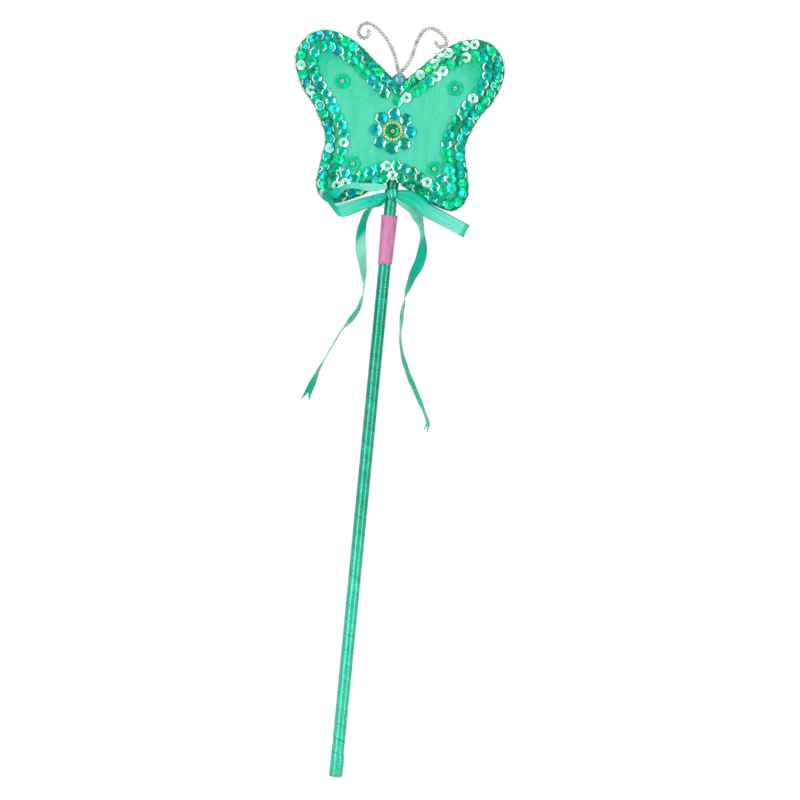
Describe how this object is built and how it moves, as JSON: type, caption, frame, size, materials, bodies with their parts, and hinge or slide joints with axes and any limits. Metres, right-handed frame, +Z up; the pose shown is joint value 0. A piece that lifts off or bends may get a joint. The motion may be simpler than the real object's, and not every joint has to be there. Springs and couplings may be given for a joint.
{
  "type": "toy magic wand",
  "caption": "Pretend-play butterfly wand: a ribbon-wound stick, a padded satin head with sewn sequins, beaded wire antennae, a satin bow with two tails and a bare label sleeve.",
  "frame": {"origin": "centre of the stick's lower end, under its ribbon cap", "axes": "+Z up along the stick towards the head, -Y out of the head's sequinned front, +X to the right when the front is looked at"},
  "size_m": [0.1129, 0.0191, 0.4083],
  "materials": {
    "dowel_wood": "bare turned wood",
    "wrap_satin": "satin ribbon",
    "label_satin": "satin label, bare",
    "wadding": "polyester wadding",
    "head_satin": "satin",
    "edge_thread": "overlocked thread",
    "sequin_film": "metallised film with a colour shift",
    "petal_film": "metallised film with a colour shift",
    "green_film": "clear coloured film",
    "gold_beads": "lustred glass",
    "clear_beads": "clear glass",
    "pearl_plastic": "pearl coat",
    "wire_steel": "drawn wire",
    "silver_beads": "silver-lined glass",
    "bow_satin": "satin ribbon"
  },
  "bodies": {
    "wand": {"dowel": "dowel_wood", "stick_wrap": "wrap_satin", "stick_cap": "wrap_satin", "head_padding": "wadding", "front_cloth": "head_satin", "back_cloth": "head_satin", "edge_stitching": "edge_thread", "outer_sequins": "sequin_film", "inner_sequins": "sequin_film", "petal_sequins": "petal_film", "flower_cup": "green_film", "flower_bead_ring": "gold_beads", "flower_eye_bead": "clear_beads", "spot_sequins": "green_film", "spot_beads": "clear_beads", "pearl_bead": "pearl_plastic", "antenna_stem": "wire_steel", "bow_knot": "bow_satin", "bow_loop_left": "bow_satin", "bow_loop_right": "bow_satin"},
    "label": {"label_sleeve": "label_satin"},
    "left_antenna": {"antenna_left_wire": "wire_steel", "antenna_left_beads": "silver_beads"},
    "right_antenna": {"antenna_right_wire": "wire_steel", "antenna_right_beads": "silver_beads"},
    "left_tail": {"bow_tail_left": "bow_satin"},
    "right_tail": {"bow_tail_right": "bow_satin"}
  },
  "joints": [
    {"name": "label_slide", "type": "slide", "parent": "wand", "child": "label", "axis": [0, 0, 1], "range_m": [-0.26, 0.003]},
    {"name": "left_antenna_bend", "type": "hinge", "parent": "wand", "child": "left_antenna", "pos_m": [-0.00195, -0.00455, 0.38212], "axis": [1, 0, 0], "range_deg": [-45, 45]},
    {"name": "right_antenna_bend", "type": "hinge", "parent": "wand", "child": "right_antenna", "pos_m": [-0.00195, -0.00455, 0.38212], "axis": [1, 0, 0], "range_deg": [-45, 45]},
    {"name": "left_tail_swing", "type": "hinge", "parent": "wand", "child": "left_tail", "pos_m": [-0.0026, -0.00403, 0.3138], "axis": [1, 0, 0], "range_deg": [-6, 40]},
    {"name": "right_tail_swing", "type": "hinge", "parent": "wand", "child": "right_tail", "pos_m": [0.0026, -0.0039, 0.3138], "axis": [1, 0, 0], "range_deg": [-6, 40]}
  ]
}
